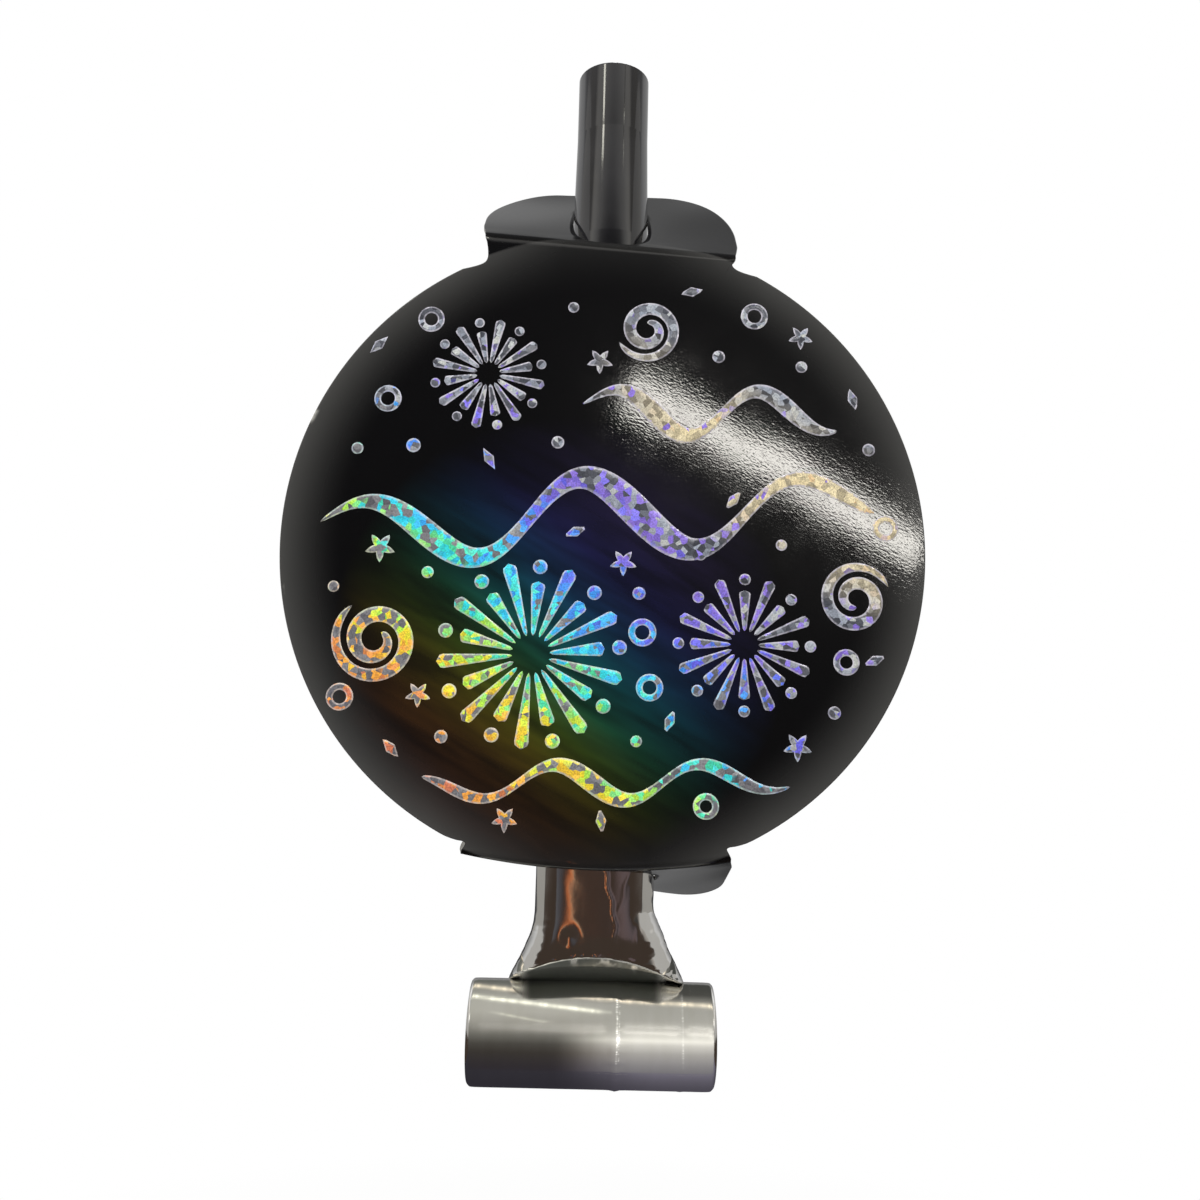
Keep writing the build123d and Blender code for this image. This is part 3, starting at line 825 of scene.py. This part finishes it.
def strip_part(name, start, end, material, middle, width, thickness, foil):
    """A length of a flat wound strip as a closed shell: round its section it runs out along the outer face
    and back along the inner one."""
    count = max(int(abs(end - start) / 2), 4)
    turn = np.concatenate([[start], np.linspace(start + 0.12, end - 0.12, count), [end]])[:, None]
    half = np.sin(np.linspace(-0.5, 0.5, 72 if foil else 8) * np.pi)
    side = np.concatenate([half, half[-2:0:-1]])[None]
    outer = np.concatenate([np.ones(len(half)), -np.ones(len(half) - 2)])[None]
    lift = 0.5 * thickness * outer * np.sqrt(np.clip(1 - np.abs(side) ** 40, 0, 1))
    x = middle + 0.5 * width * side + 0 * turn
    edge = None
    if foil:
        both, ridge, polish = foil_relief(x, side, turn, start)
        lift = lift + both + ridge * (outer > 0)
        edge = -polish.ravel()
    points = roll_point(x, turn + 0 * x, lift)
    rows, columns = x.shape
    faces = grid_faces(rows, columns, 0, True).tolist()
    faces += [list(range(columns))[::-1], list(range((rows - 1) * columns, rows * columns))]
    return make_piece(name, points.reshape(-1, 3), faces, [material], flat_faces=2, edge=edge)


def roll_parts():
    """The strip and its spring in lengths from the middle of one link to the middle of the next; the first
    leaves the neck and the last ends the strip and goes on the last link's body."""
    bodies = ["mouthpiece"] + [f"roll_{k:02d}" for k in range(1, LINKS + 1)]
    cuts = [0.0] + [LINK_ANGLE * (k + 0.5) for k in range(LINKS)] + [LINK_ANGLE * LINKS]
    for k in range(LINKS + 1):
        foil = strip_part(f"foil_strip_{k:02d}", cuts[k], cuts[k + 1], ROLLED, 0.0, ROLL_WIDTH,
                          FOIL_THICKNESS, True)
        coil = strip_part(f"spring_strip_{k:02d}", cuts[k], cuts[k + 1], STEEL, SPRING_X, SPRING_WIDTH,
                          SPRING_THICKNESS, False)
        pair = ((foil, "silver_foil", "roll_foil"), (coil, "spring_steel", "curl_spring"))
        for piece, slot, node in pair:
            if k:
                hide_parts(f"{node}_{k:02d}")
            if k == LINKS:
                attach(piece, bodies[k])
                continue
            meet = LINK_ANGLE * k
            reach = (2.0, 22.0) if k == 0 else (meet - 26.0, meet + 26.0)
            ends = roll_point(np.zeros(2), np.array(reach), 0.0) * MM
            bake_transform(piece)


# The pieces: the card, the prints, the neck and the strip's end on their bodies

card = card_medallion()
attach(card, "medallion")
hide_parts("medallion_card")
for printed in foil_prints():
    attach(printed, "medallion")
neck = foil_neck()
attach(neck, "mouthpiece")
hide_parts("foil_neck")
roll_parts()

for node, material in (("mouthpiece", PLASTIC), ("reed_holder", REED), ("reed_clip", REED),
                       ("reed_tongue", FILM)):
    solid = bpy.data.objects[node]
    solid.data.materials.clear()
    solid.data.materials.append(material)


# Stage

def seen_rays(tree):
    """One for rays from the camera, a mirror or a clear piece, and nought for those that only light."""
    path = add(tree, "LightPath").outputs
    seen = math_node(tree, "MAXIMUM", path["Is Camera Ray"], path["Is Glossy Ray"])
    return math_node(tree, "MAXIMUM", seen, path["Is Transmission Ray"])


def bare_material(name):
    """A material with no nodes yet, and its tree."""
    material = bpy.data.materials.new(name)
    material.use_nodes = True
    material.node_tree.nodes.clear()
    return material, material.node_tree


def floor_paint():
    """White floor that shines evenly where it is seen, mixed near the object with matt paint that keeps
    shadows."""
    material, tree = bare_material("floor_paint")
    shine = add(tree, "Emission", {"Color": (1, 1, 1), "Strength": 1.0}).outputs[0]
    matt = add(tree, "BsdfDiffuse", {"Color": (0.82, 0.82, 0.82)}).outputs[0]
    far = vector_node(tree, "LENGTH", add(tree, "TexCoord").outputs["Object"], result="Value")
    share = times(tree, seen_rays(tree), spread(tree, far, 0.27, 0.45, 0.62, 1.0))
    both = add(tree, "MixShader", {0: share, 1: matt, 2: shine}).outputs[0]
    add(tree, "OutputMaterial", {"Surface": both})
    return material


def sheet_piece(name, points, material):
    """A stage sheet from a grid of points in millimetres."""
    piece = make_piece(name, points.reshape(-1, 3), grid_faces(*points.shape[:2]), [material])
    return piece


def reflected_sheet(name, points, glow):
    """A sheet that shows only in reflections, shining with a colour of its own at each point of its grid."""
    material, tree = bare_material(name)
    material.cycles.emission_sampling = "NONE"
    colour = add(tree, "Attribute", attribute_name="glow").outputs["Color"]
    shine = add(tree, "Emission", {"Color": colour, "Strength": 1.0}).outputs[0]
    add(tree, "OutputMaterial", {"Surface": shine})
    piece = sheet_piece(name, points, material)
    for kind in ("camera", "diffuse", "shadow", "transmission", "volume_scatter"):
        setattr(piece, f"visible_{kind}", False)
    glow = np.broadcast_to(glow, points.shape).reshape(-1, 3)
    rgba = np.concatenate([glow, np.ones((len(glow), 1))], axis=1).astype(np.float32)
    piece.data.attributes.new("glow", "FLOAT_COLOR", "POINT").data.foreach_set("color", rgba.ravel())


def tinted(value, places, *rows):
    """A colour at a value: red, green and blue each run straight between their shades at the given places."""
    return np.stack([np.interp(value, places, row) for row in rows], axis=-1)


def roll_hood():
    """A sleeve close round the front of the roll, seen only in reflections: its shade is set by the height at
    which the photograph's camera sees it in the roll, worked out from the mirrored direction, twice the lean
    of the roll's face less the steepness of the view, with slanting lines across it and a sparkling line up
    the spring. Heights are in pixels of the frame, from the roll's top to its foot, and the shades there were
    judged from the photograph's roll."""
    top, middle, foot, half = 979, 1035, 1091, 52.5
    roll, hood = 6.45, 9.5
    steep = math.radians(13.3)
    lean = np.radians(np.linspace(-58, 95, 300))
    start = roll * np.stack([-np.cos(lean), np.sin(lean)], axis=-1)
    way = np.stack([-np.cos(2 * lean - steep), np.sin(2 * lean - steep)], axis=-1)
    along = (start * way).sum(axis=1)
    hit = start + way * (np.sqrt(along ** 2 + hood ** 2 - roll ** 2) - along)[:, None]
    around = np.arctan2(hit[:, 1], -hit[:, 0])
    rows, columns, knots = 200, 281, 140
    turn, x = np.meshgrid(np.linspace(around[0], np.radians(112), rows), np.linspace(-17, 17, columns),
                          indexing="ij")
    level = np.interp(turn, around, middle - half * np.sin(lean - steep))
    left = np.interp(level, [top, 988, 997, 1008, 1016, 1024, 1031, 1037, 1045, 1053, 1066, foot],
                     [.13, .15, .36, .50, .50, .40, .28, .17, .078, .048, .038, .036])
    right = np.interp(
        level, [top, 984, 997, 1002, 1008, 1022, 1031, 1036, 1040, 1044, 1052, 1063, 1073, 1083, foot],
        [.12, .06, .08, .22, .42, .46, .60, .80, 1.1, .75, .46, .29, .18, .09, .07])
    side = ease((x + 5) / 11)
    shade = left + (right - left) * side
    nip = ease((turn - np.radians(68)) / np.radians(8)) * ease((10.8 - np.abs(x)) / 1.5)
    shade = shade * (1 - 0.75 * nip)
    heights = [top, 1000, 1040, 1053, 1066, 1080, foot]
    brown = tinted(level, heights, [.96, 1.0, 1.0, 1.0, .94, .9, 1.0], [1.0, .99, .97, .88, .82, .8, .88],
                   [.92, .90, .86, .78, .95, 1.15, .9])
    cool = tinted(level, heights, [.96, 1.0, 1.0, 1.0, .98, .95, .94], [1.0, .99, .98, .97, .95, .92, .9],
                  [.92, .90, .90, .93, 1.0, 1.08, 1.12])
    glow = shade[..., None] * (brown + (cool - brown) * side[..., None])
    speckle = 0.55 + 0.9 * np.random.default_rng(31).random(knots) ** 2
    speckle = np.interp(np.linspace(0, knots - 1, columns), np.arange(knots), speckle)
    lines = ((([-15, 3, 15], [992, 1003.7, 1006.5]), (-20, 20), 0.95, 1.7, (1.0, .86, .64)),
             (([-15, 2], [1002, 1015]), (-20, 2.5), 1.1, 1.6, (1.0, 1.0, .82)),
             (([-12, -6], [1017, 1024.6]), (-13, -4), 0.4, 0.9, (1.0, 1.0, .8)))
    for (places, heights), (low, high), bright, thick, tone in lines:
        fade = speckle * ease((x - low) / 3) * ease((high - x) / 3)
        line = bright * fade * bump(level - np.interp(x, places, heights), thick)
        glow = glow + line[..., None] * np.array(tone)
    sparks = np.random.default_rng(32).random((rows, 1)) ** 5
    upright = ease((level - 994) / 6) * ease((1068 - level) / 18)
    for place, thick, even, bright in ((SPRING_X + 0.6, 0.2, 0.14, 1.5), (SPRING_X + 1.1, 0.12, 0.0, 0.8),
                                       (CREASE_X, 0.14, 0.10, 0.5)):
        line = (even + bright * np.roll(sparks, int(place * 17))) * bump(x - place, thick) * upright
        glow = glow + line[..., None] * np.array([1.0, 1.0, 0.95])
    spot = 1.1 * np.exp(-((x - SPRING_X - 0.9) / 0.35) ** 2 - ((level - 1039) / 3.0) ** 2)
    glow = glow + spot[..., None] * np.array([0.97, 0.95, 1.05])
    y, z = CENTRES[0, 0] - hood * np.cos(turn), CENTRES[0, 1] + hood * np.sin(turn)
    reflected_sheet("roll_hood", xyz(x, y, z), glow)


def graded_cloth():
    """A half cylinder of graded grey from below the mats in front, up and over, with grey cards at its sides.
    They glow and are seen only in reflections, painting the surroundings that the card, tube and foil mirror."""
    reach, half_width = 700.0, 900.0
    rise = np.concatenate([np.linspace(-11.6, -1.2, 12), np.linspace(-1.1, 191.5, 380)])[:, None]
    x = np.linspace(-half_width, half_width, 61)[None]
    level = np.interp(
        rise, [-11, -5, -1.2, -1.1, 8, 22, 33, 36, 40, 47, 52, 58, 105, 112, 116, 119, 145, 158, 180, 191],
        [.5, .3, .14, .04, .04, .05, .06, .25, .80, 1.2, 1.1, .15, .10, .32, .46, .56, .5, .22, .2, .45])
    level = level * (1 + 0.25 * ease(np.abs(x) / 300)) + 0.30 * ease((np.abs(x) - 250) / 500)
    tint = tinted(rise, [0, 40, 70, 100], [1, 1, 1, 1], [0.92, 0.98, 0.95, 1.0], [0.85, 0.94, 0.84, 1.0])
    sky = xyz(x, -reach * np.cos(np.radians(rise)), -120 + reach * np.sin(np.radians(rise)))
    reflected_sheet("graded_cloth", sky, level[..., None] * tint)
    z, y = np.meshgrid([-260.0, 180.0, 330.0, 700.0], [-reach, 1000.0])
    shade = np.interp(z, [180, 330], [.45, .95])[..., None] * np.array([1.0, 0.98, 0.94])
    for name, sign in (("side_card_left", -1), ("side_card_right", 1)):
        reflected_sheet(name, xyz(sign * half_width, y, z), shade)


def mirrored_mats():
    """A dark mat under the object, brown in front and grey behind, paler at its back corners and below the
    neck's right side, and a small one under the roll, paler to the right. Both glow, are seen only in
    reflections and paint the dark and brown reflections in the foil."""
    x, y = np.meshgrid(np.linspace(-400, 400, 161), np.linspace(-690, 300, 199))
    behind = ease((y - 6) / 12)[..., None]
    shade = (1 - behind) * np.array([0.050, 0.036, 0.028]) + behind * np.array([0.052, 0.052, 0.054])
    shade = shade + 0.03 * ease((np.abs(x) - 60) / 200)[..., None]
    back = (ease((y - 10) / 30) * ease((np.abs(x) - 80) / 30))[..., None]
    wing = 0.2 * ease((y - 36) / 16) * ease((90 - y) / 20) * ease((x - 2) / 4) * ease((60 - x) / 15)
    shade = shade + (np.array([0.33, 0.32, 0.30]) - shade) * back + wing[..., None]
    reflected_sheet("dark_mat", xyz(x, y, MAT_Z + 0.2), shade)
    x, y = np.meshgrid(np.linspace(-22, 22, 45), np.linspace(-16, 1, 120))
    share = ease((x + 5) / 14)
    near = [-16, -6.85, -5.9, -4.95, -3.8, -2.7, -1.5]
    shade = (1 - share) * np.interp(y, near, [.038, .038, .037, .036, .034, .033, .032])
    shade = shade + share * np.interp(y, near, [.20, .195, .16, .13, .105, .088, .08])
    reflected_sheet("roll_mat", xyz(x, y, MAT_Z + 0.3), shade[..., None] * np.array([0.93, 0.87, 1.12]))


def neck_panel():
    """A brown panel with an orange streak, before the neck: it glows, is seen only in reflections and paints
    the neck's brown reflection and its orange streak.
    """
    x, z = np.meshgrid(np.linspace(-10, 10, 161), np.linspace(-122, -108, 29))
    tone = tinted(x, [-10, -6, -5, 0, 3, 5, 7, 10], [.10, .06, .045, .055, .05, .12, .11, .05],
                  [.10, .055, .032, .034, .034, .085, .085, .04],
                  [.11, .06, .026, .026, .028, .085, .09, .04])
    streak = tinted(x + 3.5 + 0.04 * (z + 112), [-.55, -.4, -.1, .2, .3, .4, .55],
                    [0, .40, .80, .58, .58, .58, 0], [0, .08, .17, .17, .46, .46, 0],
                    [0, .01, .02, .04, .30, .30, 0])
    reflected_sheet("neck_panel", xyz(x, -36, z), tone + streak)


def tube_strips():
    """Two narrow bright strips for the tube, on a circle round it, each fading in above its lower end."""
    reach, top = 430, 300
    for name, turn, wide, heights, glow in (
            ("left_strip", -31.8, 6.0, [248, 250, 253, 258, top], [0, 6, 12, 14, 15]),
            ("right_strip", 36.0, 2.4, [250, 251, 251.5, 255, 255.5, top], [0, .4, 9, 9, .6, .8])):
        turns = np.radians(turn + wide * np.array([-0.5, 0.5]))
        z, turns = np.meshgrid(np.linspace(heights[0], top, 96), turns, indexing="ij")
        shade = np.interp(z, heights, glow)[..., None] * np.array([1.0, 0.98, 0.86])
        reflected_sheet(name, xyz(reach * np.sin(turns), -reach * np.cos(turns), z), shade)


def studio_world():
    """White where it is seen, and softer where it only lights."""
    world = bpy.data.worlds.new("studio")
    bpy.context.scene.world = world
    world.use_nodes = True
    tree = world.node_tree
    tree.nodes.clear()
    soft, white = (add(tree, "Background", {"Color": (1, 1, 1), "Strength": strength}).outputs[0]
                   for strength in (0.55, 1.0))
    both = add(tree, "MixShader", {0: seen_rays(tree), 1: soft, 2: white}).outputs[0]
    add(tree, "OutputWorld", {"Surface": both})


def softbox(name, place, target, width, height, watts, colour, lean=0.0, mirrored=True):
    """A rectangular lamp at place that faces target, turned by lean; one that is not mirrored only lights."""
    lamp = bpy.data.lights.new(name, "AREA")
    lamp.shape = "RECTANGLE"
    lamp.size = width * MM
    lamp.size_y = height * MM
    lamp.energy = watts
    lamp.color = colour
    away = np.subtract(place, target)
    away = away / np.linalg.norm(away)
    side = np.cross((0.0, 0.0, 1.0), away)
    side = side / np.linalg.norm(side)
    up = np.cross(away, side)
    side, up = side * math.cos(lean) + up * math.sin(lean), up * math.cos(lean) - side * math.sin(lean)
    box = bpy.data.objects.new(name, lamp)
    box.visible_glossy = mirrored
    box.matrix_world = Matrix([[side[i], up[i], away[i], place[i] * MM] for i in range(3)] + [[0, 0, 0, 1]])
    bpy.context.scene.collection.objects.link(box)


floor_x, floor_y = np.meshgrid([-FLOOR_HALF, FLOOR_HALF], [-FLOOR_HALF, FLOOR_HALF])
sheet_piece("floor", xyz(floor_x, floor_y, FLOOR_Z), floor_paint())
graded_cloth()
mirrored_mats()
neck_panel()
tube_strips()
roll_hood()
studio_world()
softbox("glare_strip", (146, -590, 99), (20, -8, -57), 275, 20, 0.45, (1.0, 0.97, 0.90), math.radians(-24))
softbox("overhead_box", (-60, -190, 420), (0, -20, -100), 420, 200, 3.0, (1.0, 0.97, 0.92), mirrored=False)
softbox("key_box", (-420, -420, 260), (0, 0, -70), 260, 260, 3.0, (1.0, 0.98, 0.95), mirrored=False)


# Camera, at the photograph's place

def photo_camera():
    """A level-built camera turned by yaw, pitch and roll; the lens is the focal length in pixels over the
    frame."""
    sensor, focal_pixels, frame_pixels = 36.0, 1113, 1200
    pitch, yaw, roll = math.radians(8.0), math.radians(0.4), math.radians(1.4)
    ahead = np.array([math.sin(yaw) * math.cos(pitch), math.cos(yaw) * math.cos(pitch), math.sin(pitch)])
    right = np.array([math.cos(yaw), -math.sin(yaw), 0.0])
    up = np.cross(right, ahead)
    right, up = math.cos(roll) * right + math.sin(roll) * up, math.cos(roll) * up - math.sin(roll) * right
    lens = bpy.data.cameras.new("photo_camera")
    lens.sensor_width = sensor
    lens.lens = sensor * focal_pixels / frame_pixels
    lens.clip_start = 0.005
    eye = bpy.data.objects.new("photo_camera", lens)
    place = np.array([-1.2, -143.3, -92.8]) * MM
    eye.matrix_world = Matrix([[right[i], up[i], -ahead[i], place[i]] for i in range(3)] + [[0, 0, 0, 1]])
    bpy.context.scene.collection.objects.link(eye)
    bpy.context.scene.camera = eye


photo_camera()
bpy.context.scene.view_settings.view_transform = "Standard"
